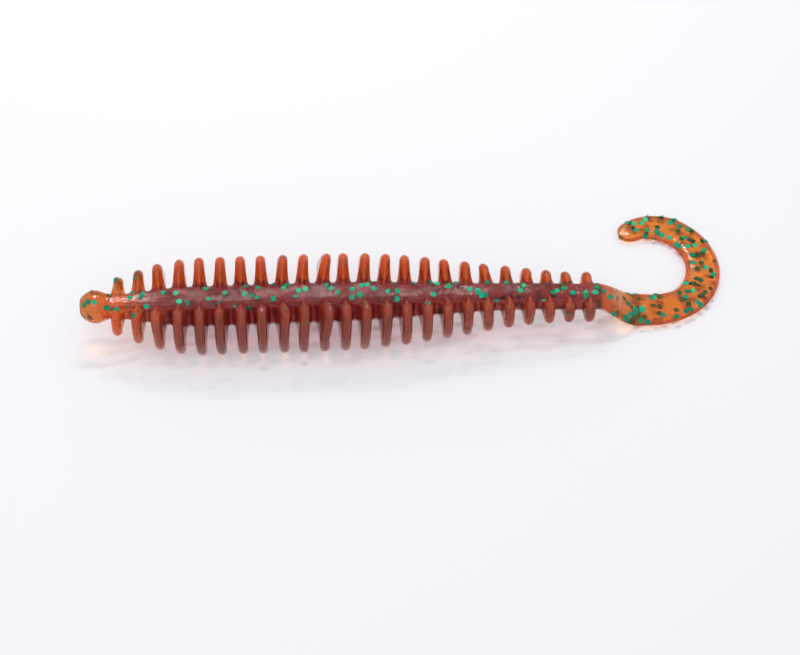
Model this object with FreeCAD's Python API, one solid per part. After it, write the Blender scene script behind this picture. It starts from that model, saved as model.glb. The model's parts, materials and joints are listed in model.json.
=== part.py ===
"""Soft plastic ring worm with a curled tail.

The worm lies along +X from its nose to its tail, +Z is up, and +Y is the side that
the tail curls to. The model is built with the nose facet at X = 0 on the worm's
centre line and the table at Z = 0, and every piece is then moved so that the origin
is at the bottom centre of the whole worm's bounding box. Sizes are in millimetres.
"""
import FreeCAD, Part
import math
import os

# Body
RING_COUNT = 24
RINGS_PER_SEGMENT = 2
RING_PITCH = 3.81
FIRST_RING_X = 6.9
BELLY_RADIUS = 9.15
FIRST_RING_RADIUS = 5.7
LAST_RING_RADIUS = 5.05
BELLY_START_X = 22.9
BELLY_END_X = 46.9
HEAD_LIFT = 1.0
REAR_DROP = 0.9
REAR_DROP_FROM_X = 79.0

# Hexagonal core, measured to its corners
CORE_RADIUS = 4.05
NECK_RADIUS = 2.45
CORE_END_RADIUS = 2.75
CORE_FULL_X = 20.9
CORE_TAPER_X = 44.9
CORE_TAPER_END_X = 82.9

# The two fans of each ring
FIN_THICKNESS = 1.7
FIN_EDGE_ROUND = 0.55
FIN_CORNER_RADIUS = 1.5
FIN_CORNER_ANGLE = 40.0
BARE_STRIP = 2.0
FIN_ROOT_DEPTH = 0.6

# Head
NOSE_FACET_RADIUS = 1.5
HEAD_RADIUS = 3.1
HEAD_WIDEST_X = 2.9

# Flex stations between the segments
BEND_LIMIT = 11.0
BALL_SHARE = 0.6
BALL_CLEARANCE = 0.12
FACE_CLEARANCE = 0.08

# Tail
TAIL_ROOT_LENGTH = 7.465
STRAIGHT_TAIL_LENGTH = 4.4
CURL_RADIUS = 10.15
CURL_TIP_RADIUS = 9.45
CURL_TURN = 211.0
CURL_TIGHTEN_FROM = 150.0
BLADE_COUNT = 8
BLADE_START_WIDTH = 7.5
BLADE_WIDTH = 6.5
TIP_WIDTH = 4.6
WIDTH_SETTLE_LENGTH = 12.0
TIP_TAPER_LENGTH = 11.0
BLADE_START_THICKNESS = 2.0
TIP_THICKNESS = 1.5
BEVEL_WIDTH = 0.7
UNCURL_LIMIT = 27.0
FLAP_LIMIT = 35.0
HINGE_CLEARANCE = 0.12
KNUCKLE_SHARE = 0.3
FLAP_PIN_RADIUS = 0.55
FLAP_PIN_SHARE = 0.6
SECTIONS_PER_BLADE = 4
ROOT_STEPS = 6

# Embedded glitter flakes
FLAKE_SIZE = 1.0
FLAKE_THICKNESS = 0.1
FLAKES_PER_SEGMENT = 8
FLAKES_PER_BLADE = 3
FLAKES_IN_TIP = 2
FLAKES_IN_HEAD = 3
FLAKES_IN_ROOT = 3
FLAKE_COVER = 0.15
FLAKE_LAYER = 0.3

UP = FreeCAD.Vector(0, 0, 1)
GOLDEN = (math.sqrt(5) - 1) / 2


def ease(value):
    """A smooth step from 0 to 1."""
    value = min(1.0, max(0.0, value))
    return 0.5 - 0.5 * math.cos(math.pi * value)


def ring_x(number):
    return FIRST_RING_X + RING_PITCH * number


def last_ring_x():
    return ring_x(RING_COUNT - 1)


def body_start_x():
    return FIRST_RING_X - RING_PITCH / 2


def body_end_x():
    return last_ring_x() + RING_PITCH / 2


def tail_root_end_x():
    return body_end_x() + TAIL_ROOT_LENGTH


def ring_radius(x):
    """Outer radius of the rings: it swells from the neck and tapers to the tail."""
    if x < BELLY_START_X:
        grown = math.sin(math.pi / 2 * max(0.0, (x - FIRST_RING_X) / (BELLY_START_X - FIRST_RING_X)))
        return FIRST_RING_RADIUS + (BELLY_RADIUS - FIRST_RING_RADIUS) * grown
    tapered = ease((x - BELLY_END_X) / (last_ring_x() - BELLY_END_X))
    return BELLY_RADIUS + (LAST_RING_RADIUS - BELLY_RADIUS) * tapered


def core_radius(x):
    """Radius of the hexagonal core to its corners."""
    if x < CORE_FULL_X:
        return NECK_RADIUS + (CORE_RADIUS - NECK_RADIUS) * ease((x - body_start_x()) / (CORE_FULL_X - body_start_x()))
    tapered = ease((x - CORE_TAPER_X) / (CORE_TAPER_END_X - CORE_TAPER_X))
    return CORE_RADIUS + (CORE_END_RADIUS - CORE_RADIUS) * tapered


def fin_corner(x):
    """Where a fin's straight upper edge starts, its direction, and its corner's centre."""
    radius = ring_radius(x)
    top = core_radius(x) * math.cos(math.radians(30)) - FIN_ROOT_DEPTH
    start = FreeCAD.Vector(0, BARE_STRIP / 2, top)
    angle = math.radians(FIN_CORNER_ANGLE)
    tip = FreeCAD.Vector(0, radius * math.sin(angle), radius * math.cos(angle))
    along = (tip - start).normalize()
    inward = FreeCAD.Vector(0, along.z, -along.y)
    base = start + inward * FIN_CORNER_RADIUS
    reach = radius - FIN_CORNER_RADIUS
    half = base.dot(along)
    distance = -half + math.sqrt(half * half - base.dot(base) + reach * reach)
    return start, along, base + along * distance


def lobe_drop(x):
    """How far the fins reach below the centre line."""
    return fin_corner(x)[2].z + FIN_CORNER_RADIUS


def axis_height(x):
    """Height of the centre line over the table: level on the fins of the belly, with both ends held off it."""
    lift = HEAD_LIFT * ease(1 - x / BELLY_START_X)
    drop = REAR_DROP * ease((x - REAR_DROP_FROM_X) / (body_end_x() - REAR_DROP_FROM_X))
    return lobe_drop(BELLY_START_X) + lift - drop


def centre(x):
    return FreeCAD.Vector(x, 0, axis_height(x))


def station_x(number):
    """Middle of the flex station in front of a body segment; the last is behind the body."""
    return body_start_x() + number * RINGS_PER_SEGMENT * RING_PITCH


def station_half_gap(x):
    return core_radius(x) * math.tan(math.radians(BEND_LIMIT / 2)) + FACE_CLEARANCE


def segment_count():
    return RING_COUNT // RINGS_PER_SEGMENT


def core_section(x):
    """The core's hexagon, with flats on top and below."""
    corners = []
    for step in range(6):
        angle = math.radians(30 + 60 * step)
        offset = FreeCAD.Vector(0, math.sin(angle), math.cos(angle))
        corners.append(centre(x) + offset * core_radius(x))
    return Part.makePolygon(corners + corners[:1])


def core_slice(start, end):
    return Part.makeLoft([core_section(start), core_section(end)], True, True)


def ball(x, extra=0.0):
    return Part.makeSphere(core_radius(x) * BALL_SHARE + extra, centre(x))


def fan(x, side):
    """One fan-shaped half of a ring: a plate with a rounded rim."""
    start, along, corner = fin_corner(x)
    radius = ring_radius(x)
    edge_end = corner + FreeCAD.Vector(0, -along.z, along.y) * FIN_CORNER_RADIUS
    rim_start = corner * (radius / (radius - FIN_CORNER_RADIUS))
    middle = (edge_end + rim_start) * 0.5 - corner
    corner_middle = corner + middle.normalize() * FIN_CORNER_RADIUS
    upper = [start, edge_end, corner_middle, rim_start]
    lower = [FreeCAD.Vector(0, point.y, -point.z) for point in upper]
    outer = FreeCAD.Vector(0, radius, 0)
    edges = [
        Part.LineSegment(upper[0], upper[1]).toShape(),
        Part.Arc(upper[1], upper[2], upper[3]).toShape(),
        Part.Arc(upper[3], outer, lower[3]).toShape(),
        Part.Arc(lower[3], lower[2], lower[1]).toShape(),
        Part.LineSegment(lower[1], lower[0]).toShape(),
        Part.LineSegment(lower[0], upper[0]).toShape(),
    ]
    plate = Part.Face(Part.Wire(edges)).extrude(FreeCAD.Vector(FIN_THICKNESS, 0, 0))
    hidden_y = BARE_STRIP / 2 + 0.001
    rim = []
    for edge in plate.Edges:
        flat = edge.BoundBox.XLength < 0.001
        if flat and edge.BoundBox.YMax > hidden_y:
            rim.append(edge)
    plate = plate.makeFillet(FIN_EDGE_ROUND, rim)
    if side < 0:
        plate = plate.mirror(FreeCAD.Vector(0, 0, 0), FreeCAD.Vector(0, 1, 0))
    plate.translate(centre(x) - FreeCAD.Vector(FIN_THICKNESS / 2, 0, 0))
    return plate


def ring(number):
    """One ring: its slice of the core with a fan on each side."""
    x = ring_x(number)
    start = x - RING_PITCH / 2
    end = x + RING_PITCH / 2
    first_in_segment = number % RINGS_PER_SEGMENT == 0
    last_in_segment = number % RINGS_PER_SEGMENT == RINGS_PER_SEGMENT - 1
    core_start = start + station_half_gap(start) if first_in_segment else start
    core_end = end - station_half_gap(end) if last_in_segment else end
    body = core_slice(core_start, core_end)
    body = body.fuse([fan(x, 1), fan(x, -1)])
    if last_in_segment:
        body = body.fuse(ball(end))
    if first_in_segment:
        body = body.cut(ball(start, BALL_CLEARANCE))
    return body


def head():
    """The round nose with its flat facet, the neck, and the ball of the first flex station."""
    station = station_x(0)
    height = axis_height(0)
    end = station - station_half_gap(station)
    neck = core_radius(station)

    def point(x, radius):
        return FreeCAD.Vector(x, 0, height + radius)

    cheek = point(HEAD_WIDEST_X * 0.3, NOSE_FACET_RADIUS + (HEAD_RADIUS - NOSE_FACET_RADIUS) * 0.66)
    throat_x = (HEAD_WIDEST_X + end) / 2
    throat = point(throat_x, neck + (HEAD_RADIUS - neck) * 0.62)
    edges = [
        Part.LineSegment(point(0, 0), point(0, NOSE_FACET_RADIUS)).toShape(),
        Part.Arc(point(0, NOSE_FACET_RADIUS), cheek, point(HEAD_WIDEST_X, HEAD_RADIUS)).toShape(),
        Part.Arc(point(HEAD_WIDEST_X, HEAD_RADIUS), throat, point(end, neck)).toShape(),
        Part.LineSegment(point(end, neck), point(end, 0)).toShape(),
        Part.LineSegment(point(end, 0), point(0, 0)).toShape(),
    ]
    bulb = Part.Face(Part.Wire(edges)).revolve(point(0, 0), FreeCAD.Vector(1, 0, 0), 360)
    return bulb.fuse(ball(station))


def curl_length():
    return math.radians(CURL_TURN) * CURL_RADIUS


def tail_length():
    """Length of the tail's centre line behind its root."""
    return STRAIGHT_TAIL_LENGTH + curl_length()


def tail_point(s):
    """Centre line of the blade, from the end of the root, with its direction."""
    if s <= STRAIGHT_TAIL_LENGTH:
        return FreeCAD.Vector(tail_root_end_x() + s, 0, 0), FreeCAD.Vector(1, 0, 0)
    turned = (s - STRAIGHT_TAIL_LENGTH) / CURL_RADIUS
    tighten = ease((math.degrees(turned) - CURL_TIGHTEN_FROM) / (CURL_TURN - CURL_TIGHTEN_FROM))
    radius = CURL_RADIUS + (CURL_TIP_RADIUS - CURL_RADIUS) * tighten
    spoke = FreeCAD.Vector(math.sin(turned), -math.cos(turned), 0)
    middle = FreeCAD.Vector(tail_root_end_x() + STRAIGHT_TAIL_LENGTH, CURL_RADIUS, 0)
    return middle + spoke * radius, FreeCAD.Vector(math.cos(turned), math.sin(turned), 0)


def blade_width(s):
    settled = ease(s / WIDTH_SETTLE_LENGTH)
    width = BLADE_START_WIDTH + (BLADE_WIDTH - BLADE_START_WIDTH) * settled
    taper = ease((s - tail_length() + TIP_TAPER_LENGTH) / TIP_TAPER_LENGTH)
    return width + (TIP_WIDTH - BLADE_WIDTH) * taper


def blade_thickness(s):
    return BLADE_START_THICKNESS + (TIP_THICKNESS - BLADE_START_THICKNESS) * s / tail_length()


def blade_section(s):
    """A flat hexagon lying on the table: the blade with its bevelled edges."""
    middle, along = tail_point(s)
    across = UP.cross(along)
    half = blade_width(s) / 2
    thick = blade_thickness(s)
    corners = []
    for width, height in ((half - BEVEL_WIDTH, thick), (half, thick / 2), (half - BEVEL_WIDTH, 0)):
        corners.append(middle + across * width + UP * height)
    for width, height in ((half - BEVEL_WIDTH, 0), (half, thick / 2), (half - BEVEL_WIDTH, thick)):
        corners.append(middle - across * width + UP * height)
    return Part.makePolygon(corners + corners[:1])


def blade_station(number):
    """Place along the tail of the hinge in front of a blade."""
    return tail_length() * number / BLADE_COUNT


def hinge_point(s):
    return tail_point(s)[0] + UP * (blade_thickness(s) / 2)


def knuckle(s, extra=0.0):
    """The upright round knuckle on which one blade turns against the one before it."""
    foot = tail_point(s)[0] - UP * extra
    return Part.makeCylinder(blade_width(s) * KNUCKLE_SHARE + extra, blade_thickness(s) + 2 * extra, foot)


def flap_pin(extra=0.0):
    """The round bead across the end of the root on which the whole tail flaps."""
    length = blade_width(0) * FLAP_PIN_SHARE + 2 * extra
    start = hinge_point(0) - FreeCAD.Vector(0, length / 2, 0)
    return Part.makeCylinder(FLAP_PIN_RADIUS + extra, length, start, FreeCAD.Vector(0, 1, 0))


def flap_half_gap():
    return blade_thickness(0) / 2 * math.tan(math.radians(FLAP_LIMIT / 2)) + FACE_CLEARANCE


def root_share(x):
    """How far the tail root has turned from the core's shape into the blade's, from 0 to 1."""
    return ease((x - body_end_x()) / TAIL_ROOT_LENGTH)


def root_section(x):
    """The core's hexagon as it flattens into the blade's."""
    share = root_share(x)
    corners = []
    for before, after in zip(corners_of(core_section(body_end_x())), corners_of(blade_section(0))):
        point = before + (after - before) * share
        corners.append(FreeCAD.Vector(x, point.y, point.z))
    return Part.makePolygon(corners + corners[:1])


def corners_of(section):
    """A section's corners in the order in which they were made."""
    return [vertex.Point for vertex in section.OrderedVertexes][:6]


def uncurl_room(s):
    """The wedge left out on the outer side of a hinge, which closes as the tail uncurls."""
    middle, along = tail_point(s)
    across = UP.cross(along)
    reach = BLADE_START_WIDTH
    angle = math.radians(UNCURL_LIMIT + 2)
    corners = [middle, middle - across * reach, middle + (along * math.sin(angle) - across * math.cos(angle)) * reach]
    corners = [point - UP for point in corners]
    face = Part.Face(Part.makePolygon(corners + corners[:1]))
    return face.extrude(UP * (BLADE_START_THICKNESS + 2))


def tail_root():
    """The body's end flattens into the blade and comes down onto the table."""
    station = body_end_x()
    start = station + station_half_gap(station)
    end = tail_root_end_x() - flap_half_gap()
    sections = []
    for step in range(ROOT_STEPS + 1):
        sections.append(root_section(start + (end - start) * step / ROOT_STEPS))
    root = Part.makeLoft(sections, True, True)
    return root.fuse(flap_pin()).cut(ball(station, BALL_CLEARANCE))


def blade(number):
    """One blade of the curled tail."""
    first = number == 0
    last = number == BLADE_COUNT - 1
    gap_before = flap_half_gap() if first else HINGE_CLEARANCE / 2
    start = blade_station(number) + gap_before
    end = blade_station(number + 1) - (TIP_WIDTH / 2 if last else HINGE_CLEARANCE / 2)
    sections = []
    for step in range(SECTIONS_PER_BLADE + 1):
        sections.append(blade_section(start + (end - start) * step / SECTIONS_PER_BLADE))
    body = Part.makeLoft(sections, True, True)
    if last:
        body = body.fuse(rounded_tip(end))
    else:
        body = body.fuse(knuckle(blade_station(number + 1)))
    if first:
        return body.cut(flap_pin(HINGE_CLEARANCE))
    here = blade_station(number)
    return body.cut([knuckle(here, HINGE_CLEARANCE), uncurl_room(here)])


def rounded_tip(s):
    """The round end of the tail, bevelled like the blade's edges."""
    middle = tail_point(s)[0]
    half = blade_width(s) / 2
    thick = blade_thickness(s)
    lower = Part.makeCone(half - BEVEL_WIDTH, half, thick / 2, middle)
    upper = Part.makeCone(half, half - BEVEL_WIDTH, thick / 2, middle + UP * (thick / 2))
    return lower.fuse(upper)


def flake_radius():
    return FLAKE_SIZE / math.sqrt(3)


def flake(middle, number, steepness):
    """One hexagonal flake, turned by its number."""
    tilt = steepness * math.sin(2 * math.pi * GOLDEN * number)
    turn = 2 * math.pi * GOLDEN * number
    spin = 360 * GOLDEN * number * 2
    corners = []
    for step in range(6):
        angle = math.radians(60 * step + spin)
        corners.append(FreeCAD.Vector(math.cos(angle), math.sin(angle), 0) * flake_radius())
    solid = Part.Face(Part.makePolygon(corners + corners[:1])).extrude(UP * FLAKE_THICKNESS)
    solid.rotate(FreeCAD.Vector(0, 0, 0), FreeCAD.Vector(math.cos(turn), math.sin(turn), 0), tilt)
    solid.translate(middle)
    return solid


def flakes_in_core(start, end, count, first_number):
    """Flakes scattered through a stretch of the core, clear of its skin and of the flex stations."""
    found = []
    for step in range(count):
        number = first_number + step
        x = start + (end - start) * (step + 0.5) / count
        room = core_radius(x) * math.cos(math.radians(30)) - flake_radius() - FLAKE_COVER
        angle = 2 * math.pi * GOLDEN * number
        reach = room * math.sqrt((number * GOLDEN * GOLDEN) % 1)
        middle = centre(x) + FreeCAD.Vector(0, math.sin(angle), math.cos(angle)) * reach
        found.append(flake(middle, number, 60))
    return Part.makeCompound(found)


def blade_flakes(number):
    """Flakes of one blade, each in a layer of its own, lying almost flat, to the left and right in turn."""
    last = number == BLADE_COUNT - 1
    count = FLAKES_IN_TIP if last else FLAKES_PER_BLADE
    clear = flake_radius() + FLAKE_COVER
    here = blade_station(number)
    start = here + blade_width(here) * KNUCKLE_SHARE + HINGE_CLEARANCE + clear
    end = blade_station(number + 1) - clear - (BEVEL_WIDTH if last else 0)
    found = []
    for step in range(count):
        turn = number * FLAKES_PER_BLADE + step
        side = 1 if step % 2 else -1
        s = start + (end - start) * (step + 0.5) / count
        middle, along = tail_point(s)
        room = blade_width(s) / 2 - BEVEL_WIDTH - clear
        across = UP.cross(along) * (room * side * (0.5 + 0.5 * ((turn * GOLDEN) % 1)))
        level = blade_thickness(s) / 2 + FLAKE_LAYER * (step - (count - 1) / 2)
        found.append(flake(middle + across + UP * level, turn, 8))
    return Part.makeCompound(found)


def root_flakes():
    """Flakes in the tail root, between the ball in front of it and the flap pin."""
    clear = flake_radius() + FLAKE_COVER
    start = body_end_x() + core_radius(body_end_x()) * BALL_SHARE + BALL_CLEARANCE + clear
    end = tail_root_end_x() - flap_half_gap() - clear
    found = []
    for step in range(FLAKES_IN_ROOT):
        x = start + (end - start) * step / (FLAKES_IN_ROOT - 1)
        side = 1 if step % 2 else -1
        middle = centre(body_end_x()) * (1 - root_share(x)) + hinge_point(0) * root_share(x)
        middle = FreeCAD.Vector(x, side * core_radius(body_end_x()) / 3, middle.z)
        found.append(flake(middle, step, 8))
    return Part.makeCompound(found)


def segment_flakes(number):
    """The flakes of one body segment, between the ball in front and the ball behind."""
    before = station_x(number)
    after = station_x(number + 1)
    start = before + core_radius(before) * BALL_SHARE + BALL_CLEARANCE + FLAKE_SIZE / 2
    end = after - station_half_gap(after) - FLAKE_SIZE / 2
    return flakes_in_core(start, end, FLAKES_PER_SEGMENT, number * FLAKES_PER_SEGMENT + 1)


def build():
    """Every piece of the worm, by name."""
    pieces = {"head": head()}
    for number in range(RING_COUNT):
        pieces["ring_%02d" % (number + 1)] = ring(number)
    pieces["tail_root"] = tail_root()
    for number in range(BLADE_COUNT):
        pieces["tail_blade_%d" % (number + 1)] = blade(number)
    head_end = station_x(0) - station_half_gap(station_x(0)) - FLAKE_SIZE / 2
    pieces["flakes_head"] = flakes_in_core(FLAKE_SIZE, head_end, FLAKES_IN_HEAD, 5)
    for number in range(segment_count()):
        pieces["flakes_segment_%02d" % (number + 1)] = segment_flakes(number)
    pieces["flakes_tail_root"] = root_flakes()
    for number in range(BLADE_COUNT):
        pieces["flakes_blade_%d" % (number + 1)] = blade_flakes(number)
    return pieces


def origin_of(pieces):
    """Bottom centre of the bounding box of all pieces."""
    box = Part.makeCompound(list(pieces.values())).optimalBoundingBox(False, False)
    return FreeCAD.Vector((box.XMin + box.XMax) / 2, (box.YMin + box.YMax) / 2, box.ZMin)


def main():
    os.makedirs("parts", exist_ok=True)
    pieces = build()
    origin = origin_of(pieces)
    for name, shape in pieces.items():
        shape.translate(origin * -1)
        shape.exportStep("parts/%s.step" % name)
    print("%d pieces written, origin at %.3f %.3f %.3f" % (len(pieces), origin.x, origin.y, origin.z))


if __name__ == "__main__":
    main()
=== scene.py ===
import functools
import json
import math

import bpy
import numpy as np
from bpy.props import FloatProperty, FloatVectorProperty, IntProperty, PointerProperty
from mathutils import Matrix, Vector

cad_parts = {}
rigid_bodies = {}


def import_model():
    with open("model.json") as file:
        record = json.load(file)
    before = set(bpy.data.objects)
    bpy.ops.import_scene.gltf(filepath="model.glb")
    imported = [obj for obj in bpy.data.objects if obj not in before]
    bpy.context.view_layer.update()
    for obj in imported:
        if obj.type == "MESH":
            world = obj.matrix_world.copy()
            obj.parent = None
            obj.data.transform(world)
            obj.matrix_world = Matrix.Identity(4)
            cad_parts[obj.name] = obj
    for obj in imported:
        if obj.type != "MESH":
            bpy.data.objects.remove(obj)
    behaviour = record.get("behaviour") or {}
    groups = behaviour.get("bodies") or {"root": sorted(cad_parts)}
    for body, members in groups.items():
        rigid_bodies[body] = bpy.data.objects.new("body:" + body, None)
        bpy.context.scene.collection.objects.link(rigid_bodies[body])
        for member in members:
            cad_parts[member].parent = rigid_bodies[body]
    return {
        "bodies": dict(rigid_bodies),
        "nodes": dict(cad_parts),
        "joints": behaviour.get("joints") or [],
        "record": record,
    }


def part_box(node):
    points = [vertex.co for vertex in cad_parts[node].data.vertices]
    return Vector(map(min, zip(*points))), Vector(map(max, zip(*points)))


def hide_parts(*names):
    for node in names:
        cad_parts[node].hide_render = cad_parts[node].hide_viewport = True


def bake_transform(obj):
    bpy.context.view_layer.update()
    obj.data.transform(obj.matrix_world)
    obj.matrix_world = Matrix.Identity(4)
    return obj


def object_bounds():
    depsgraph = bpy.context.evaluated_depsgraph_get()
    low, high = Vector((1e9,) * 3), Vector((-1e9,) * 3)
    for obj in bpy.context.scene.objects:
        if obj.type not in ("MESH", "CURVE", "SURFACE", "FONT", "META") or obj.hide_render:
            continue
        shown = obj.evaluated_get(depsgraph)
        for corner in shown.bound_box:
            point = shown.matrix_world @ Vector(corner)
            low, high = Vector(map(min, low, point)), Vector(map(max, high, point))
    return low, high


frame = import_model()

bl_info = {
    "name": "Soft Ring Worm",
    "version": (1, 0, 0),
    "blender": (4, 5, 0),
    "location": "View3D > Sidebar > Worm",
    "description": "Builds a moulded soft plastic ring worm with glitter flakes round its jointed frame",
    "category": "Add Mesh",
}

MM = 0.001
CAD_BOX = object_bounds()
CHAIN = ["head"] + sorted(b for b in frame["bodies"] if b.startswith("segment_"))
CHAIN += ["tail_root"] + sorted(b for b in frame["bodies"] if b.startswith("tail_") and b != "tail_root")
RING_NODES = sorted(n for n in frame["nodes"] if n.startswith("ring_"))


def joint_point(front, back):
    """Where the joint between two neighbouring bodies sits."""
    for joint in frame["joints"]:
        if {joint["parent"], joint["child"]} == {front, back}:
            return np.array(joint["pos_m"])
    raise RuntimeError(f"no joint between {front} and {back}")


JOINT_POINTS = [joint_point(a, b) for a, b in zip(CHAIN, CHAIN[1:])]
STATIONS = JOINT_POINTS[:CHAIN.index("tail_root")]
HINGES = JOINT_POINTS[CHAIN.index("tail_root"):]
PITCH = (STATIONS[1][0] - STATIONS[0][0]) / 2


def srgb(code):
    """A linear colour from its sRGB hex code."""
    parts = [int(code[i:i + 2], 16) / 255 for i in (1, 3, 5)]
    return tuple(c / 12.92 if c <= 0.04045 else ((c + 0.055) / 1.055) ** 2.4 for c in parts)


def mm_prop(name, text, value):
    return FloatProperty(name=name, description=text, default=value * MM, unit="LENGTH", precision=5)


def colour_prop(name, text, code):
    return FloatVectorProperty(name=name, description=text, default=srgb(code), subtype="COLOR", size=3)


class WormShape(bpy.types.PropertyGroup):
    neck_radius: mm_prop("Neck radius", "Radius of the core at the neck", 2.45)
    neck_swell: mm_prop("Neck swell", "How much wider than the neck the head still is at its end", 0.25)
    core_radius: mm_prop("Core radius", "Radius of the six-sided core at the belly, to its corners", 4.05)
    core_end_radius: mm_prop("Core end radius", "Radius of the core at the tail", 2.75)
    nose_radius: mm_prop("Facet radius", "Radius of the flat facet at the nose", 1.5)
    head_radius: mm_prop("Head radius", "Largest radius of the head", 3.1)
    rim_radius: mm_prop("Fan rim radius", "Half the thickness of a fan at its round rim", 0.92)
    root_half: mm_prop("Fan root", "Half the thickness of a fan at its root", 1.36)
    root_fillet: mm_prop("Root fillet", "How far a fan's root flares onto the core", 0.4)
    bare_strip: mm_prop("Bare strip", "Width of the core left bare between the two fans of a ring", 2.0)
    corner_radius: mm_prop("Fan corner", "Radius of a fan's corner", 2.2)
    blade_start: mm_prop("Blade start", "Width of the tail's blade at its root", 7.5)
    blade_width: mm_prop("Blade width", "Width of the tail's blade in the curl", 6.5)
    tip_width: mm_prop("Tip width", "Width of the blade at its round tip", 4.6)
    blade_thickness: mm_prop("Blade thickness", "Thickness of the blade at its root", 2.0)
    tip_thickness: mm_prop("Tip thickness", "Thickness of the blade at its tip", 1.5)


class WormFlakes(bpy.types.PropertyGroup):
    width: mm_prop("Flake width", "Width across the flats of a glitter flake", 1.0)
    thickness: mm_prop("Flake thickness", "Thickness of a flake", 0.06)
    in_body: IntProperty(name="Flakes in a segment", description="Flakes in each stretch of the body",
                         default=26)
    in_blade: IntProperty(name="Flakes in a blade", description="Flakes in each stretch of the tail",
                          default=13)
    seed: IntProperty(name="Seed", description="Seed of the scatter", default=11)


class WormFinish(bpy.types.PropertyGroup):
    thin: colour_prop("Thin plastic", "Colour of light through the thinnest plastic", "#E2A24A")
    # The lit fan colours are partly the thin plastic's own orange, which the head, neck and root reach by
    # their thinness, and partly painted backlight: fans on the lamp side are given a shallower depth so that
    # they take these colours.
    bright: colour_prop("Lit fan plastic", "Colour of light through a fan on the lit side", "#F0843C")
    middle: colour_prop("Fan plastic", "Colour of light through a fan", "#C85A4A")
    thick: colour_prop("Thick plastic", "Colour of light through the core", "#A01A1E")
    haze_thin: colour_prop("Thin haze", "Colour of the haze in the thinnest plastic", "#D07830")
    # Partly painted backlight too: the haze that the fans on the lamp side take.
    orange_haze_and_painted_backlight: colour_prop("Lit fan haze", "Colour of the haze in a fan on the lit side", "#E8682E")
    haze: colour_prop("Fan haze", "Colour of the haze in a fan", "#8E3A32")
    haze_deep: colour_prop("Deep haze", "Colour of the haze in the core", "#8E2228")
    shade_thin: colour_prop("Thin shade", "Colour that the thinnest plastic gives its shadow", "#F2E2D2")
    shade: colour_prop("Shade", "Colour that the plastic gives its shadow", "#E8ECEE")
    # Each flake's colour lies between these two: the film colour for painted light on upward flakes at the
    # skin, and the dark one as painted shade on the deeper flakes.
    flake: colour_prop("Flake", "Colour of the glitter film", "#02AC7A")
    flake_painted_shade: colour_prop("Dark flake", "Colour of a flake turned from the light", "#08685A")


class WormStudio(bpy.types.PropertyGroup):
    elevation: FloatProperty(name="Elevation", description="Camera's height over the table",
                             default=math.radians(54), subtype="ANGLE")
    azimuth: FloatProperty(name="Azimuth", description="Camera's turn about the worm",
                           default=math.radians(-2.3), subtype="ANGLE")
    distance: mm_prop("Distance", "Camera to the point it looks at", 351.5)
    aim_along: mm_prop("Aim", "The point looked at, behind the nose", 47.7)
    aim_across: mm_prop("Aim across", "The point looked at, to the side of the body", -1.16)
    lens: FloatProperty(name="Lens", description="Focal length in millimetres", default=83.8)
    shift: FloatProperty(name="Shift", description="Camera shift to the side", default=0.0775)


def smoothstep(value):
    value = np.clip(value, 0, 1)
    return value * value * (3 - 2 * value)


def ease(value):
    return 0.5 - 0.5 * np.cos(np.pi * np.clip(value, 0, 1))


def angles():
    """Angles round a section, from the top towards the curl's side, closest where the fans' edges run."""
    quarter = np.concatenate([np.arange(0, 15, 5), np.arange(15, 50, 2), np.linspace(51, 90, 9)])
    half = np.concatenate([quarter, 180 - quarter[-2::-1]])
    return np.radians(np.concatenate([half, 360 - half[-2:0:-1]]))


TURN = angles()
SIN, COS = np.sin(TURN), np.cos(TURN)


def section_radius(width, height, bevel, roundness, sharpness=11):
    """Polar radius of a section: flat on top and below, with bevelled sides, or round."""
    along, up = np.abs(SIN) / width, np.abs(COS) / height
    faceted = (up ** sharpness + (along + bevel * up) ** sharpness) ** (1 / sharpness)
    rounded = np.hypot(along, up)
    return 1 / (faceted * (1 - roundness) + rounded * roundness)


# How much lower a six-sided core is at its flats than at its corners
FLAT_SHARE = math.cos(math.radians(30))
# Where along the worm, behind the nose, the core is full, starts to taper and has its end size
CORE_FULL = 20.9 * MM
CORE_TAPER = 44.9 * MM
CORE_TAPER_END = 82.9 * MM
SWELL_LENGTH = 0.8 * MM


class Spine:
    """The body's centre line and core, read from the frame."""

    def __init__(self, shape):
        self.shape = shape
        self.ring_x, self.ring_radius, self.ring_z = [], [], []
        for number, node in enumerate(RING_NODES):
            low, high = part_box(node)
            station = STATIONS[(number + 1) // 2][0]
            self.ring_x.append(station + (PITCH / 2 if number % 2 == 0 else -PITCH / 2))
            self.ring_radius.append((high.y - low.y) / 2)
            self.ring_z.append((high.z + low.z) / 2)
        low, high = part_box("head")
        self.nose = low.x
        self.y = (high.y + low.y) / 2
        self.head_z = (low.z + high.z) / 2

    def z(self, x):
        xs = [self.nose] + self.ring_x
        return np.interp(x, xs, [self.head_z] + self.ring_z)

    def core(self, x):
        s = self.shape
        along = x - self.nose
        start = STATIONS[0][0] - self.nose
        grown = s.neck_radius + (s.core_radius - s.neck_radius) * ease((along - start) / (CORE_FULL - start))
        swell = s.neck_swell * (1 - smoothstep((along - start) / SWELL_LENGTH))
        tapered = ease((along - CORE_TAPER) / (CORE_TAPER_END - CORE_TAPER))
        return grown + (s.core_end_radius - s.core_radius) * tapered + swell


FAN_EDGE_SINK = 0.6 * MM
FAN_TIP_ANGLE = math.radians(40)


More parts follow.
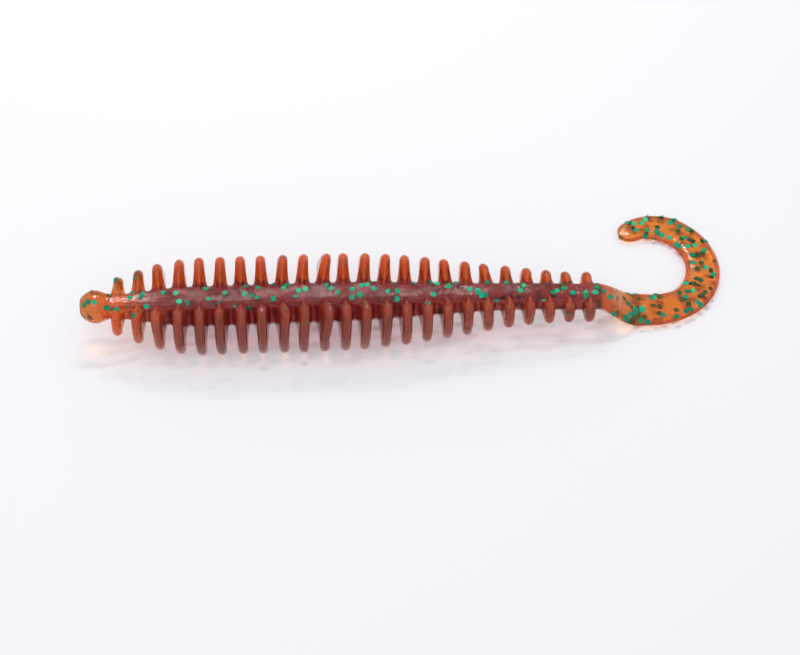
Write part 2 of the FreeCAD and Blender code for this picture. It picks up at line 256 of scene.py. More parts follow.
def fan_reach(shape, radius, core, inset):
    """Polar radius of a fan's outline, drawn in by inset: a straight edge, a round corner and the rim."""
    folded = np.arccos(np.clip(np.abs(COS), 0, 1))
    ray = np.stack([np.sin(folded), np.cos(folded)], -1)
    start = np.array([shape.bare_strip / 2, core * FLAT_SHARE - FAN_EDGE_SINK])
    tip = radius * np.array([math.sin(FAN_TIP_ANGLE), math.cos(FAN_TIP_ANGLE)])
    along = (tip - start) / np.linalg.norm(tip - start)
    inward = np.array([along[1], -along[0]])
    base = start + inward * shape.corner_radius
    reach = radius - shape.corner_radius
    half = base @ along
    corner = base + along * (-half + math.sqrt(half * half - base @ base + reach * reach))
    slope = ray @ inward
    offset = inset + start @ inward
    edge = offset / np.minimum(slope, -1e-6) if offset < 0 else np.zeros_like(slope)
    bend = shape.corner_radius - inset
    touch = corner - inward * bend
    from_edge = math.atan2(touch[0], touch[1])
    to_rim = math.atan2(corner[0], corner[1])
    middle = ray @ corner
    around = middle + np.sqrt(np.maximum(middle ** 2 - corner @ corner + bend ** 2, 0))
    return np.where(folded < from_edge, edge, np.where(folded < to_rim, around, radius - inset))


# The fans that stand out of line, by ring, and how far their upper corners lean to the tail, in millimetres
LEANING = {3: -0.5, 9: 0.4, 10: 0.5, 11: 1.1, 12: 0.3, 13: 0.35, 14: 0.3, 19: -0.55, 21: 0.35}

WALL_SHARES = np.array([0, 0.03, 0.07, 0.13, 0.22, 0.4, 0.6, 0.8, 1.0])
RIM_ANGLES = np.radians([15, 30, 45, 60, 75, 90])
GAP_STEPS = 3
FAN_FADE = 0.9 * MM
ROOT_SOFTNESS = 0.12 * MM
FILLET_SHARE = 0.13
CORE_BEVEL = 0.5
LEAN_SHARE = 1.3
# How fast the colour pales where the core is thinner: the front is clearer than the rear
FRONT_PALING, REAR_PALING = 2.5, 0.7


def core_section(core):
    return section_radius(core, core * FLAT_SHARE, CORE_BEVEL, 0)


def ring_columns(spine, number, scatter):
    """The skin of one ring and its share of the core: positions and how deep the plastic is there. On the
    fans, painted light and shade is added to that depth: it is shallower and lighter on the lamp side, and
    deeper and darker on the camera side.
    """
    shape = spine.shape
    centre, radius = spine.ring_x[number], spine.ring_radius[number]
    core = spine.core(centre)
    core_reach = core_section(core)
    rim = shape.rim_radius
    inner = np.maximum(fan_reach(shape, radius, core, rim), core_reach)
    present = smoothstep((inner - core_reach) / FAN_FADE)
    flare = shape.root_half - rim
    offsets, reaches = [], []
    for step in range(GAP_STEPS):
        start = shape.root_half + shape.root_fillet
        offsets.append(np.full_like(TURN, PITCH / 2 + (start - PITCH / 2) * step / GAP_STEPS))
        reaches.append(core_reach)
    for share in WALL_SHARES:
        fillet = shape.root_fillet * max(0.0, 1 - share / FILLET_SHARE) ** 2
        offsets.append(np.full_like(TURN, rim + flare * (1 - share) ** 1.5 + fillet))
        reaches.append(core_reach + (inner - core_reach) * share)
    for angle in RIM_ANGLES:
        offsets.append(np.full_like(TURN, rim * math.cos(angle)))
        reaches.append(fan_reach(shape, radius, core, rim * (1 - math.sin(angle))))
    count = len(offsets)
    for step in range(count):
        flat = PITCH / 2 * (1 - step / (count - 1))
        offsets[step] = offsets[step] * present + flat * (1 - present)
    front = np.stack([-o for o in offsets])
    back = front[-2::-1] * -1
    offset = np.concatenate([front, back])
    reach = np.stack(reaches)
    reach = np.concatenate([reach, reach[-2::-1]])
    x = centre + offset
    cores = np.array([spine.core(v) for v in x[:, 0]])
    core_here = np.stack([core_section(c) for c in cores])
    soft = ROOT_SOFTNESS
    raised = np.clip((reach - core_reach) / np.maximum(inner - core_reach, 1e-6), 0, 1)
    reach = reach + (core_here - core_reach) * (1 - raised)
    joined = np.maximum(reach, core_here) + soft * np.exp(-np.abs(reach - core_here) / soft) * present
    up = np.maximum(COS, 0) * scatter[0] + LEANING.get(number + 1, 0) * MM * np.maximum(COS, 0) * LEAN_SHARE
    down = np.maximum(-COS, 0) * scatter[1]
    side = np.where(SIN > 0, scatter[2], scatter[3])
    height = np.clip((joined - core_here) / (radius - core), 0, 1.2)
    x = x + (up + down + side) * height ** 1.3
    points = np.stack([x, spine.y + joined * SIN, spine.z(centre + offset) + joined * COS], -1)
    paling = FRONT_PALING if number < len(RING_NODES) // 2 else REAR_PALING
    thick = (cores[:, None] / shape.core_radius) ** paling
    # Painted light and shade: where SIN is above 0, on the side of the back lamp, the fans fade sooner to a
    # shallower depth and so to a lighter orange. On the camera side, in the core's shadow, they stay deep and
    # dark further out.
    thin = (0.38 - 0.1 * SIN) * (0.6 + 0.4 * thick)
    depth = thick + (np.minimum(thin, thick) - thick) * smoothstep(height * (4.4 + 3.0 * SIN))
    return points, depth


HEAD_WIDEST = 2.9 * MM
HEAD_STEPS = 12
FACET_SHARES = (0.35, 0.75, 0.93)
FACET_DEPTH, HEAD_DEPTH, NECK_DEEPENING = 0.23, 0.21, 0.08


def head_columns(spine):
    """The round nose with its flat facet, and the neck."""
    shape = spine.shape
    end = STATIONS[0][0] - spine.nose
    widest = HEAD_WIDEST
    reach = widest / math.sqrt(1 - (shape.nose_radius / shape.head_radius) ** 2)
    along = list(widest * (1 - np.cos(np.linspace(0, math.pi / 2, HEAD_STEPS))))
    along += list(np.linspace(widest, end, HEAD_STEPS)[1:-1])
    points, depth = [], []
    for share in FACET_SHARES:
        radius = shape.nose_radius * share
        facet = [np.full_like(TURN, spine.nose), spine.y + radius * SIN, spine.head_z + radius * COS]
        points.append(np.stack(facet, -1))
        depth.append(np.full_like(TURN, FACET_DEPTH))
    for x in along:
        if x <= widest:
            radius = shape.head_radius * math.sqrt(1 - ((widest - x) / reach) ** 2)
        else:
            fall = 1 - ((shape.neck_radius + shape.neck_swell) / shape.head_radius) ** 2
            radius = shape.head_radius * math.sqrt(1 - fall * ((x - widest) / (end - widest)) ** 2)
        squared = float(smoothstep((x - 0.6 * end) / (0.4 * end)))
        height = radius * (1 - squared * (1 - FLAT_SHARE))
        polar = section_radius(radius, height, CORE_BEVEL, 1 - squared)
        z = spine.z(spine.nose + x)
        ring = [np.full_like(TURN, spine.nose + x), spine.y + polar * SIN, z + polar * COS]
        points.append(np.stack(ring, -1))
        depth.append(np.full_like(TURN, HEAD_DEPTH + NECK_DEEPENING * float(smoothstep(x / end))))
    return np.stack(points), np.stack(depth)


ROOT_STEPS = 16
BLADE_STEPS = 12
TIP_STEPS = 14
BLADE_SETTLING = 12 * MM
TIP_LENGTH = 11 * MM
BLADE_ROUNDING = 0.7 * MM
ROOT_BEVEL, BLADE_BEVEL = 0.5, 0.2


class Blade:
    """The centre line of the tail, through its hinges, and its width and thickness."""

    def __init__(self, shape):
        self.shape = shape
        first, last = HINGES[-2], HINGES[-1]
        heading = last - first
        before = first - HINGES[-3]
        turn = math.atan2(heading[1], heading[0]) - math.atan2(before[1], before[0])
        turned = np.array([heading[0] * math.cos(turn) - heading[1] * math.sin(turn),
                           heading[0] * math.sin(turn) + heading[1] * math.cos(turn), heading[2]])
        root = HINGES[0] * 2 - HINGES[1]
        beyond = last + turned
        self.points = [root] + list(HINGES) + [beyond, beyond + turned]
        self.count = len(HINGES)

    def at(self, place):
        """Centre and heading at a place counted in hinges, by a smooth curve through them."""
        number = min(int(place), self.count - 1)
        t = place - number
        a, b, c, d = self.points[number:number + 4]
        squared, cubed = 2 * a - 5 * b + 4 * c - d, 3 * b - a - 3 * c + d
        point = 0.5 * (2 * b + (c - a) * t + squared * t ** 2 + cubed * t ** 3)
        heading = 0.5 * ((c - a) + 2 * squared * t + 3 * cubed * t ** 2)
        heading[2] = 0
        return point, heading / np.linalg.norm(heading)

    def width(self, place):
        s = self.shape
        length = np.linalg.norm(HINGES[1] - HINGES[0])
        settled = s.blade_start + (s.blade_width - s.blade_start) * ease(place * length / BLADE_SETTLING)
        narrowed = ease(((place - self.count) * length + TIP_LENGTH) / TIP_LENGTH)
        return settled + (s.tip_width - s.blade_width) * narrowed

    def thickness(self, place):
        s = self.shape
        return s.blade_thickness + (s.tip_thickness - s.blade_thickness) * place / self.count


def place_section(centre, heading, polar):
    across = np.array([-heading[1], heading[0], 0])
    return centre + np.outer(polar * SIN, across) + np.outer(polar * COS, [0, 0, 1])


def root_columns(spine, blade):
    """The end of the body as it flattens into the blade and comes down onto the table."""
    shape = spine.shape
    start, end = STATIONS[-1], HINGES[0]
    core = shape.core_end_radius
    points, depth = [], []
    for step in range(1, ROOT_STEPS):
        share = step / ROOT_STEPS
        turned = float(ease(share))
        fallen = 0.4 * share + 0.6 * turned
        spread = float(ease(share * 1.5))
        x, z = start[0] + (end[0] - start[0]) * share, start[2] + (end[2] - start[2]) * fallen
        centre = np.array([x, spine.y, z])
        width = core + (blade.width(0) / 2 - core) * spread
        height = core * FLAT_SHARE * (1 - turned) + blade.thickness(0) / 2 * turned
        bevel = ROOT_BEVEL + (BLADE_BEVEL - ROOT_BEVEL) * turned
        polar = section_radius(width, height, bevel, 0, 14 - 6 * turned)
        points.append(place_section(centre, np.array([1.0, 0, 0]), polar))
        depth.append(np.full_like(TURN, 0.4 - 0.2 * spread ** 0.5))
    return np.stack(points), np.stack(depth)


def blade_columns(blade):
    """The flat blade through its curl to the round tip. Column BLADE_STEPS times n is hinge n."""
    points, depth = [], []
    places = list(np.arange(0, (blade.count - 1) * BLADE_STEPS + BLADE_STEPS // 2) / BLADE_STEPS)
    length = np.linalg.norm(HINGES[1] - HINGES[0])
    tip = blade.width(blade.count) / 2 / length
    round_start = blade.count - tip
    first = places[-1] + 1 / BLADE_STEPS
    places += list(np.linspace(first, round_start, 4))
    places += list(round_start + tip * np.sin(np.linspace(0, math.pi / 2, TIP_STEPS)[1:-1]))
    for place in places:
        centre, heading = blade.at(place)
        half = blade.width(place) / 2
        thick = blade.thickness(place) / 2
        if place > round_start:
            share = math.sqrt(max(0.0, 1 - ((place - round_start) / tip) ** 2))
            half *= share
            thick *= 0.5 + 0.5 * share ** 0.5
        polar = section_radius(half, thick, min(BLADE_ROUNDING / half, 0.6), 0, 8)
        points.append(place_section(centre, heading, polar))
        depth.append(0.2 - 0.05 * place / blade.count + 0.14 * smoothstep((np.abs(SIN) - 0.93) / 0.07))
    return np.stack(points), np.stack(depth)


FAN_SEED = 4
FAN_UNEVENNESS = 0.16


@functools.cache
def skin():
    """The whole worm's skin as columns of points, with the column at which each body's middle lies."""
    settings = bpy.context.scene.worm_shape
    spine, blade = Spine(settings), Blade(settings)
    rng = np.random.default_rng(FAN_SEED)
    scatter = rng.uniform(-FAN_UNEVENNESS, FAN_UNEVENNESS, (len(RING_NODES), 4)) * MM
    points, depth = [], []

    def add(found):
        points.append(found[0])
        depth.append(found[1])

    def count():
        return sum(len(p) for p in points)

    middles = []
    add(head_columns(spine))
    middles.append(count() // 2)
    for number in range(len(RING_NODES)):
        columns, deep = ring_columns(spine, number, scatter[number])
        if number % 2 == 0:
            middles.append(count() + len(columns) - 1)
        add((columns[:-1], deep[:-1]) if number < len(RING_NODES) - 1 else (columns, deep))
    middles.append(count() + ROOT_STEPS // 2 - 1)
    add(root_columns(spine, blade))
    start = count()
    middles += [start + BLADE_STEPS * n + BLADE_STEPS // 2 for n in range(blade.count)]
    add(blade_columns(blade))
    points, depth = np.concatenate(points), np.concatenate(depth)
    return points, depth, middles


def make_piece(name, points, depth, open_start, open_end, materials):
    """A closed stretch of skin. The cut faces where it meets its neighbours take the second material."""
    columns, turns = depth.shape
    vertices = points.reshape(-1, 3)
    grid = np.arange(columns * turns).reshape(columns, turns)
    following = np.roll(grid, -1, axis=1)
    quads = np.stack([grid[:-1], grid[1:], following[1:], following[:-1]], -1).reshape(-1, 4)
    centres = np.stack([points[0].mean(0), points[-1].mean(0)])
    vertices = np.concatenate([vertices, centres])
    first, last = columns * turns, columns * turns + 1
    start_fan = np.stack([np.full(turns, first), grid[0], following[0]], -1)
    end_fan = np.stack([np.full(turns, last), following[-1], grid[-1]], -1)
    mesh = bpy.data.meshes.new(name)
    mesh.from_pydata(vertices.tolist(), [], quads.tolist() + start_fan.tolist() + end_fan.tolist())
    slots = np.zeros(len(mesh.polygons), np.int32)
    if open_start:
        slots[len(quads):len(quads) + turns] = 1
    if open_end:
        slots[len(quads) + turns:] = 1
    mesh.polygons.foreach_set("material_index", slots)
    mesh.polygons.foreach_set("use_smooth", np.ones(len(mesh.polygons), bool))
    for material in materials:
        mesh.materials.append(material)
    attribute = mesh.attributes.new("depth", "FLOAT", "POINT")
    ends = [depth[0].mean(), depth[-1].mean()]
    attribute.data.foreach_set("value", np.concatenate([depth.ravel(), ends]).astype(np.float32))
    rim = set()
    if open_start:
        rim |= {frozenset(e) for e in zip(grid[0].tolist(), following[0].tolist())}
    if open_end:
        rim |= {frozenset(e) for e in zip(grid[-1].tolist(), following[-1].tolist())}
    sharp = mesh.attributes.new("sharp_edge", "BOOLEAN", "EDGE")
    sharp.data.foreach_set("value", [frozenset(e.vertices) in rim for e in mesh.edges])
    mesh.update()
    piece = bpy.data.objects.new(name, mesh)
    bpy.context.scene.collection.objects.link(piece)
    return piece


def stretch_ends(number, count, middles):
    """The first and last column of a stretch. The first stretch has the nose and the last one the tip."""
    first = 0 if number == 0 else middles[number]
    last = count - 1 if number == len(CHAIN) - 2 else middles[number + 1]
    return first, last


def skin_stretch(number, materials):
    """The skin from the middle of one body to the middle of the next."""
    points, depth, middles = skin()
    first, last = stretch_ends(number, len(points), middles)
    front, back = CHAIN[number], CHAIN[number + 1]
    piece = make_piece(f"skin_{front}_to_{back}", points[first:last + 1], depth[first:last + 1],
                       number > 0, number < len(CHAIN) - 2, materials)
    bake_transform(piece)
    return piece


def plastic_nodes(number):
    """The frame's solids that a stretch of skin stands for."""
    bodies = frame["record"]["behaviour"]["bodies"]
    front = [n for n in bodies[CHAIN[number]] if not n.startswith("flakes_")]
    back = [n for n in bodies[CHAIN[number + 1]] if not n.startswith("flakes_")]
    return [front[-1], back[0]]


def node(tree, kind, settings=None, links=None):
    """Adds one node, with its settings and the values or sockets that feed it."""
    made = tree.nodes.new(kind)
    for key, value in (settings or {}).items():
        setattr(made, key, value)
    for key, value in (links or {}).items():
        socket = made.inputs[key]
        if isinstance(value, bpy.types.NodeSocket):
            tree.links.new(value, socket)
        else:
            socket.default_value = value
    return made


def new_material(name):
    material = bpy.data.materials.new(name)
    material.use_nodes = True
    material.node_tree.nodes.clear()
    return material, material.node_tree


def depth_ramp(tree, depth, stops):
    """A ramp of colours over how deep the plastic is."""
    ramp = node(tree, "ShaderNodeValToRGB", links={"Fac": depth.outputs["Fac"]})
    for element, (place, colour) in zip(ramp.color_ramp.elements, (stops[0], stops[-1])):
        element.position = place
        element.color = colour
    for place, colour in stops[1:-1]:
        ramp.color_ramp.elements.new(place).color = colour
    return ramp


def grey(value):
    return (value, value, value, 1)


# The skin's unevenness, in waves to the metre: wrinkles of 0.7 mm, waves of 3 mm and sags of 8 mm
WRINKLES, WAVES, SAGS = 1500.0, 330.0, 120.0
WAVE_HEIGHT, SAG_HEIGHT = 2.0, 9.0
WRINKLE_DEPTH = 0.00025
LIGHT_REACH = 0.001


def moulded_plastisol(finish):
    """Soft PVC plastisol poured in a mould: clear and oily, so it is glossy, and its colour deepens with its
    thickness, from amber in the tail to dark red in the core. Its skin is wrinkled and sags a little."""
    material, tree = new_material("moulded_plastisol")
    # The depth is the plastic's thickness, and on the fans it also holds painted light and shade: lighter on
    # the lamp side, darker on the camera side.
    depth = node(tree, "ShaderNodeAttribute", {"attribute_name": "depth"})
    clear = depth_ramp(tree, depth, [(0.16, (*finish.thin, 1)), (0.3, (*finish.bright, 1)),
                                     (0.5, (*finish.middle, 1)), (1.0, (*finish.thick, 1))])
    milky = depth_ramp(tree, depth, [(0.16, (*finish.haze_thin, 1)), (0.3, (*finish.orange_haze_and_painted_backlight, 1)),
                                     (0.5, (*finish.haze, 1)), (1.0, (*finish.haze_deep, 1))])
    shade = depth_ramp(tree, depth, [(0.19, (*finish.shade_thin, 1)), (0.25, (*finish.shade, 1)),
                                     (1.0, (*finish.shade, 1))])
    haze = depth_ramp(tree, depth, [(0.18, grey(0.03)), (0.3, grey(0.62)), (0.46, grey(0.42)),
                                    (1.0, grey(0.36))])
    place = node(tree, "ShaderNodeTexCoord")
    wrinkles = node(tree, "ShaderNodeTexNoise", links={
        "Vector": place.outputs["Object"], "Scale": WRINKLES, "Detail": 3.0, "Roughness": 0.55,
        "Distortion": 0.6})
    waves = node(tree, "ShaderNodeTexNoise", links={
        "Vector": place.outputs["Object"], "Scale": WAVES, "Detail": 1.0, "Roughness": 0.5})
    sags = node(tree, "ShaderNodeTexNoise", links={
        "Vector": place.outputs["Object"], "Scale": SAGS, "Detail": 0.0, "Roughness": 0.5})
    uneven = node(tree, "ShaderNodeMath", {"operation": "MULTIPLY_ADD"}, {
        0: waves.outputs["Fac"], 1: WAVE_HEIGHT, 2: wrinkles.outputs["Fac"]})
    heights = node(tree, "ShaderNodeMath", {"operation": "MULTIPLY_ADD"}, {
        0: sags.outputs["Fac"], 1: SAG_HEIGHT, 2: uneven.outputs["Value"]})
    rough = depth_ramp(tree, depth, [(0.2, grey(0.2)), (0.5, grey(0.35)), (0.9, grey(0.72))])
    bump = node(tree, "ShaderNodeBump", links={
        "Height": heights.outputs["Value"], "Strength": rough.outputs["Color"], "Distance": WRINKLE_DEPTH})
    glassy = node(tree, "ShaderNodeBsdfPrincipled", links={
        "Base Color": clear.outputs["Color"], "Normal": bump.outputs["Normal"], "Roughness": 0.06,
        "IOR": 1.45, "Transmission Weight": 1.0})
    cloudy = node(tree, "ShaderNodeBsdfPrincipled", links={
        "Base Color": milky.outputs["Color"], "Normal": bump.outputs["Normal"], "Roughness": 0.12,
        "IOR": 1.45, "Subsurface Weight": 1.0, "Subsurface Radius": (1.0, 0.25, 0.1),
        "Subsurface Scale": LIGHT_REACH})
    plastic = node(tree, "ShaderNodeMixShader", links={
        "Fac": haze.outputs["Color"], 1: glassy.outputs["BSDF"], 2: cloudy.outputs["BSDF"]})
    path = node(tree, "ShaderNodeLightPath")
    tinted = node(tree, "ShaderNodeBsdfTransparent", links={"Color": shade.outputs["Color"]})
    mixed = node(tree, "ShaderNodeMixShader", links={
        "Fac": path.outputs["Is Shadow Ray"], 1: plastic.outputs["Shader"], 2: tinted.outputs["BSDF"]})
    node(tree, "ShaderNodeOutputMaterial", links={"Surface": mixed.outputs["Shader"]})
    return material


def inner_cut():
    """The faces where two stretches of skin meet inside the plastic, which the real moulding doesn't have."""
    material, tree = new_material("clear_inner_cut")
    clear = node(tree, "ShaderNodeBsdfTransparent")
    node(tree, "ShaderNodeOutputMaterial", links={"Surface": clear.outputs["BSDF"]})
    return material


def glitter_film(finish):
    """Hexagonal polyester glitter, metallised and dyed green: a mirror under a coloured film."""
    material, tree = new_material("green_glitter_film")
    # Painted light and shade: each flake's colour runs from the dark painted shade to the film colour by a
    # value set per flake, with some random tone.
    tint = node(tree, "ShaderNodeAttribute", {"attribute_name": "tint"})
    ramp = node(tree, "ShaderNodeValToRGB", links={"Fac": tint.outputs["Fac"]})
    ramp.color_ramp.elements[0].color = (*finish.flake_painted_shade, 1)
    ramp.color_ramp.elements[1].color = (*finish.flake, 1)
    film = node(tree, "ShaderNodeBsdfPrincipled", links={
        "Base Color": ramp.outputs["Color"], "Metallic": 0.6, "Roughness": 0.5})
    node(tree, "ShaderNodeOutputMaterial", links={"Surface": film.outputs["BSDF"]})
    return material


def shared_material(name, make):
    return bpy.data.materials.get(name) or make()


def plastic_materials():
    finish = bpy.context.scene.worm_finish
    return [shared_material("moulded_plastisol", lambda: moulded_plastisol(finish)),
            shared_material("clear_inner_cut", inner_cut)]


def scatter_flakes(rng, points, normals, sizes, proud, count, tilt):
    """Flakes over a stretch of skin: some lie at the skin and shine, the others lie deeper. Those at the skin
    that face up are given a lighter colour as painted light, and the deeper ones a dark colour as painted
    shade, each with some random spread.
    """
    upward, lengthways = normals[..., 2], abs(normals[..., 0])
    weights = (sizes * (1 + 0.5 * upward) * (1 - 0.85 * lengthways) * np.where(proud, 3, 0.8)).ravel()
    chosen = rng.choice(weights.size, count, p=weights / weights.sum())
    found = []
    for index in chosen:
        place, out = points.reshape(-1, 3)[index], normals.reshape(-1, 3)[index]
        shallow = proud.ravel()[index] and rng.random() < 0.6 and out[2] > 0.5
        below = -0.03 * MM if shallow else rng.uniform(0.2, 0.8) * MM
        facing = out + rng.normal(0, tilt * (0.4 if shallow else 1.0), 3)
        # Painted light and shade: upward flakes at the skin get a light value, the deeper ones a dark value,
        # each spread at random.
        tint = rng.uniform(0.35, 1) if shallow else rng.uniform(0, 0.5)
        found.append((place - out * below, facing / np.linalg.norm(facing), rng.uniform(0, math.tau),
                      rng.uniform(0.92, 1.06), tint))
    return found


def skin_normals(points):
    """Outward normals of the skin, and the area round each point."""
    along = np.gradient(points, axis=0)
    around = (np.roll(points, -1, axis=1) - np.roll(points, 1, axis=1)) / 2
    normals = np.cross(along, around)
    sizes = np.linalg.norm(normals, axis=-1)
    return normals / np.maximum(sizes, 1e-12)[..., None], sizes


def flake_tree(material):
    """Sets a thin hexagon on each point, facing as its attribute says."""
    tree = bpy.data.node_groups.new("glitter_flakes", "GeometryNodeTree")
    tree.interface.new_socket("Geometry", in_out="INPUT", socket_type="NodeSocketGeometry")
    for name in ("Flake Radius", "Flake Thickness"):
        tree.interface.new_socket(name, in_out="INPUT", socket_type="NodeSocketFloat")
    tree.interface.new_socket("Geometry", in_out="OUTPUT", socket_type="NodeSocketGeometry")
    given = node(tree, "NodeGroupInput")
    hexagon = node(tree, "GeometryNodeMeshCylinder", {"fill_type": "NGON"}, {
        "Vertices": 6, "Side Segments": 1, "Radius": given.outputs["Flake Radius"],
        "Depth": given.outputs["Flake Thickness"]})
    facing = node(tree, "GeometryNodeInputNamedAttribute", {"data_type": "FLOAT_VECTOR"}, {"Name": "facing"})
    spin = node(tree, "GeometryNodeInputNamedAttribute", {"data_type": "FLOAT"}, {"Name": "spin"})
    size = node(tree, "GeometryNodeInputNamedAttribute", {"data_type": "FLOAT"}, {"Name": "size"})
    aimed = node(tree, "FunctionNodeAlignRotationToVector", {"axis": "Z"}, {
        "Vector": facing.outputs["Attribute"]})
    turn = node(tree, "FunctionNodeAxisAngleToRotation", None, {
        "Axis": (0, 0, 1), "Angle": spin.outputs["Attribute"]})
    turned = node(tree, "FunctionNodeRotateRotation", {"rotation_space": "LOCAL"}, {
        "Rotation": aimed.outputs["Rotation"], "Rotate By": turn.outputs["Rotation"]})
    placed = node(tree, "GeometryNodeInstanceOnPoints", None, {
        "Points": given.outputs["Geometry"], "Instance": hexagon.outputs["Mesh"],
        "Rotation": turned.outputs["Rotation"], "Scale": size.outputs["Attribute"]})
    real = node(tree, "GeometryNodeRealizeInstances", None, {"Geometry": placed.outputs["Instances"]})
    finished = node(tree, "GeometryNodeSetMaterial", None, {
        "Geometry": real.outputs["Geometry"], "Material": material})
    node(tree, "NodeGroupOutput", None, {"Geometry": finished.outputs["Geometry"]})
    return tree


def set_input(modifier, name, value):
    """Sets a tree's input by its socket's identifier."""
    for item in modifier.node_group.interface.items_tree:
        if item.item_type == "SOCKET" and item.in_out == "INPUT" and item.name == name:
            modifier[item.identifier] = value
            return
    raise RuntimeError(f"the tree has no input named {name}")


def flake_piece(name, flakes, tree, settings):
    """One stretch's flakes as a plain mesh."""
    mesh = bpy.data.meshes.new(name)
    mesh.from_pydata([list(f[0]) for f in flakes], [], [])
    facing = mesh.attributes.new("facing", "FLOAT_VECTOR", "POINT")
    facing.data.foreach_set("vector", np.array([f[1] for f in flakes], np.float32).ravel())
    for key, column in (("spin", 2), ("size", 3), ("tint", 4)):
        values = mesh.attributes.new(key, "FLOAT", "POINT")
        values.data.foreach_set("value", np.array([f[column] for f in flakes], np.float32))
    piece = bpy.data.objects.new(name, mesh)
    bpy.context.scene.collection.objects.link(piece)
    modifier = piece.modifiers.new("glitter", "NODES")
    modifier.node_group = tree
    set_input(modifier, "Flake Radius", settings.width / math.sqrt(3))
    set_input(modifier, "Flake Thickness", settings.thickness)
    ready = piece.evaluated_get(bpy.context.evaluated_depsgraph_get())
    made = bpy.data.meshes.new_from_object(ready)
    piece.modifiers.remove(modifier)
    piece.data = made
    return piece


class WORM_OT_head(bpy.types.Operator):
    """Make the skin of the nose and neck"""
    bl_idname = "worm.head"
    bl_label = "Head"

    def execute(self, context):
        piece = skin_stretch(0, plastic_materials())
        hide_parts(*plastic_nodes(0))
        return {"FINISHED"}


class WORM_OT_rings(bpy.types.Operator):
    """Make the ringed body's skin, one stretch across each joint"""
    bl_idname = "worm.rings"
    bl_label = "Ringed body"

    def execute(self, context):
        for number in range(1, CHAIN.index("tail_root")):
            piece = skin_stretch(number, plastic_materials())
            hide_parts(*plastic_nodes(number))
        return {"FINISHED"}


class WORM_OT_tail(bpy.types.Operator):
    """Make the tail's skin, one stretch across each hinge"""
    bl_idname = "worm.tail"
    bl_label = "Curled tail"

    def execute(self, context):
        for number in range(CHAIN.index("tail_root"), len(CHAIN) - 1):
            piece = skin_stretch(number, plastic_materials())
            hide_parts(*plastic_nodes(number))
        return {"FINISHED"}


FLAKE_TILT = 0.3
# Skin of a ring that is nearly as deep as its deepest counts as the core, where more flakes show
CORE_SHARE = 0.8


class WORM_OT_flakes(bpy.types.Operator):
    """Scatter the glitter flakes in the plastic"""
    bl_idname = "worm.flakes"
    bl_label = "Glitter flakes"

    def execute(self, context):
        scene = context.scene
        settings = scene.worm_flakes
        tree = flake_tree(shared_material("green_glitter_film", lambda: glitter_film(scene.worm_finish)))
        rng = np.random.default_rng(settings.seed)
        points, depth, middles = skin()
        normals, sizes = skin_normals(points)
        for number in range(len(CHAIN) - 1):
            front, back = CHAIN[number], CHAIN[number + 1]
            first, last = stretch_ends(number, len(points), middles)
            part = slice(first + 1, last)
            count = settings.in_blade if number > CHAIN.index("tail_root") else settings.in_body
            ringed = 0 < number < CHAIN.index("tail_root")
            proud = np.ones(depth[part].shape, bool)
            if ringed:
                proud = depth[part] > CORE_SHARE * depth[part].max(axis=1, keepdims=True)
            group = scatter_flakes(rng, points[part], normals[part], sizes[part], proud, count, FLAKE_TILT)
            piece = flake_piece(f"flakes_{front}_to_{back}", group, tree, settings)
            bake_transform(piece)
            stood = [n for n in frame["record"]["behaviour"]["bodies"][back] if n.startswith("flakes_")]
            if number == 0:
                stood += [n for n in frame["record"]["behaviour"]["bodies"][front] if n.startswith("flakes_")]
            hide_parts(*stood)
        return {"FINISHED"}


FILM_WIDTH = 36
WORLD_STRENGTH = 0.68


class WORM_OT_stage(bpy.types.Operator):
    """Make the table, the lights and the camera"""
    bl_idname = "worm.stage"
    bl_label = "Studio"

    def execute(self, context):
        scene = context.scene
        studio = scene.worm_studio
        low = CAD_BOX[0]
        body_y = (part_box("head")[0].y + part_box("head")[1].y) / 2
        aim = Vector((low.x + studio.aim_along, body_y + studio.aim_across, low.z))
        make_table(low.z)
        back = Vector((math.sin(studio.azimuth) * math.cos(studio.elevation),
                       -math.cos(studio.azimuth) * math.cos(studio.elevation), math.sin(studio.elevation)))
        data = bpy.data.cameras.new("camera")
        data.sensor_width = FILM_WIDTH
        data.lens = studio.lens
        data.shift_x = studio.shift
        data.clip_start = 0.01
        data.clip_end = 10
        camera = bpy.data.objects.new("camera", data)
        camera.location = aim + back * studio.distance
        camera.rotation_mode = "QUATERNION"
        camera.rotation_quaternion = back.to_track_quat("Z", "Y")
        scene.collection.objects.link(camera)
        scene.camera = camera
        softbox("softbox_back", aim, azimuth=184, elevation=55, distance=0.45,
                width=0.2, depth=0.028, power=0.72)
        softbox("softbox_front", aim, azimuth=-25, elevation=62, distance=0.5,
                width=0.3, depth=0.22, power=0.42)
        world = bpy.data.worlds.new("studio")
        world.use_nodes = True
        world.node_tree.nodes["Background"].inputs["Color"].default_value = (*srgb("#F6F7FB"), 1)
        world.node_tree.nodes["Background"].inputs["Strength"].default_value = WORLD_STRENGTH
        scene.world = world
        scene.view_settings.view_transform = "Standard"
        return {"FINISHED"}


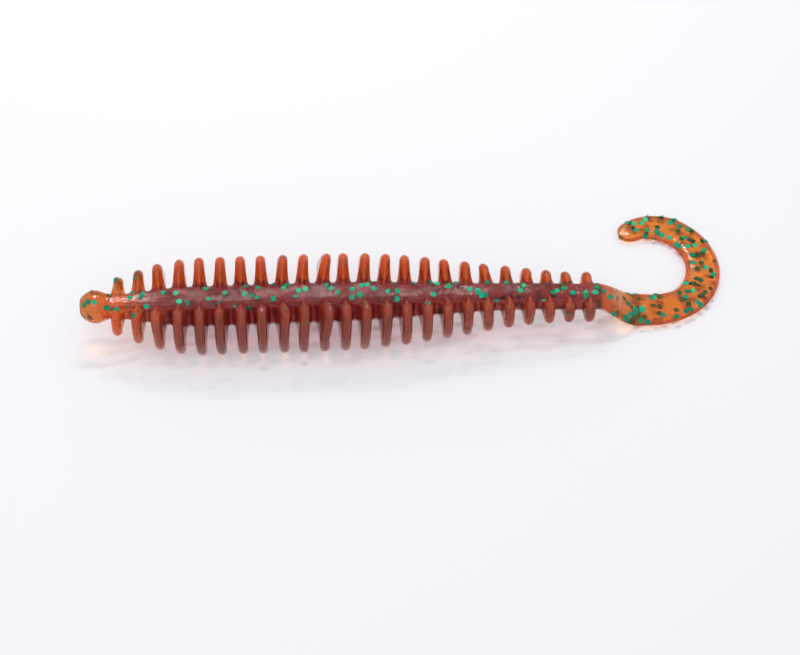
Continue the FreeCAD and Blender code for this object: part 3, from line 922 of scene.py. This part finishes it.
def softbox(name, aim, azimuth, elevation, distance, width, depth, power):
    """A soft rectangular light, aimed at the worm."""
    data = bpy.data.lights.new(name, "AREA")
    data.shape = "RECTANGLE"
    data.size, data.size_y = width, depth
    data.energy = power
    lamp = bpy.data.objects.new(name, data)
    a, e = math.radians(azimuth), math.radians(elevation)
    back = Vector((math.sin(a) * math.cos(e), -math.cos(a) * math.cos(e), math.sin(e)))
    lamp.location = aim + back * distance
    lamp.rotation_mode = "QUATERNION"
    lamp.rotation_quaternion = back.to_track_quat("Z", "Y")
    bpy.context.scene.collection.objects.link(lamp)


TABLE_HALF = 3.0


def make_table(height):
    """A plain pale table top."""
    side = TABLE_HALF
    mesh = bpy.data.meshes.new("table")
    corners = [(-side, -side, height), (side, -side, height), (side, side, height), (-side, side, height)]
    mesh.from_pydata(corners, [], [(0, 1, 2, 3)])
    material, tree = new_material("pale_table")
    surface = node(tree, "ShaderNodeBsdfPrincipled", links={
        "Base Color": (*srgb("#F4F5F8"), 1), "Roughness": 0.9, "Specular IOR Level": 0.1})
    node(tree, "ShaderNodeOutputMaterial", links={"Surface": surface.outputs["BSDF"]})
    mesh.materials.append(material)
    table = bpy.data.objects.new("table", mesh)
    bpy.context.scene.collection.objects.link(table)


class WORM_PT_panel(bpy.types.Panel):
    """Lists the worm's parts"""
    bl_label = "Soft Ring Worm"
    bl_idname = "WORM_PT_panel"
    bl_space_type = "VIEW_3D"
    bl_region_type = "UI"
    bl_category = "Worm"

    def draw(self, context):
        for operator in OPERATORS:
            self.layout.operator(operator.bl_idname)
        for group in GROUPS:
            settings = getattr(context.scene, group)
            box = self.layout.box()
            for key in settings.__annotations__:
                box.prop(settings, key)


GROUPS = {"worm_shape": WormShape, "worm_flakes": WormFlakes, "worm_finish": WormFinish,
          "worm_studio": WormStudio}
OPERATORS = (WORM_OT_head, WORM_OT_rings, WORM_OT_tail, WORM_OT_flakes, WORM_OT_stage)
CLASSES = (*GROUPS.values(), *OPERATORS, WORM_PT_panel)


def register():
    for cls in CLASSES:
        bpy.utils.register_class(cls)
    for name, group in GROUPS.items():
        setattr(bpy.types.Scene, name, PointerProperty(type=group))


def unregister():
    for name in GROUPS:
        delattr(bpy.types.Scene, name)
    for cls in reversed(CLASSES):
        bpy.utils.unregister_class(cls)


def main():
    register()
    worm = bpy.ops.worm
    for make in (worm.head, worm.rings, worm.tail, worm.flakes, worm.stage):
        make()


if __name__ == "__main__":
    main()
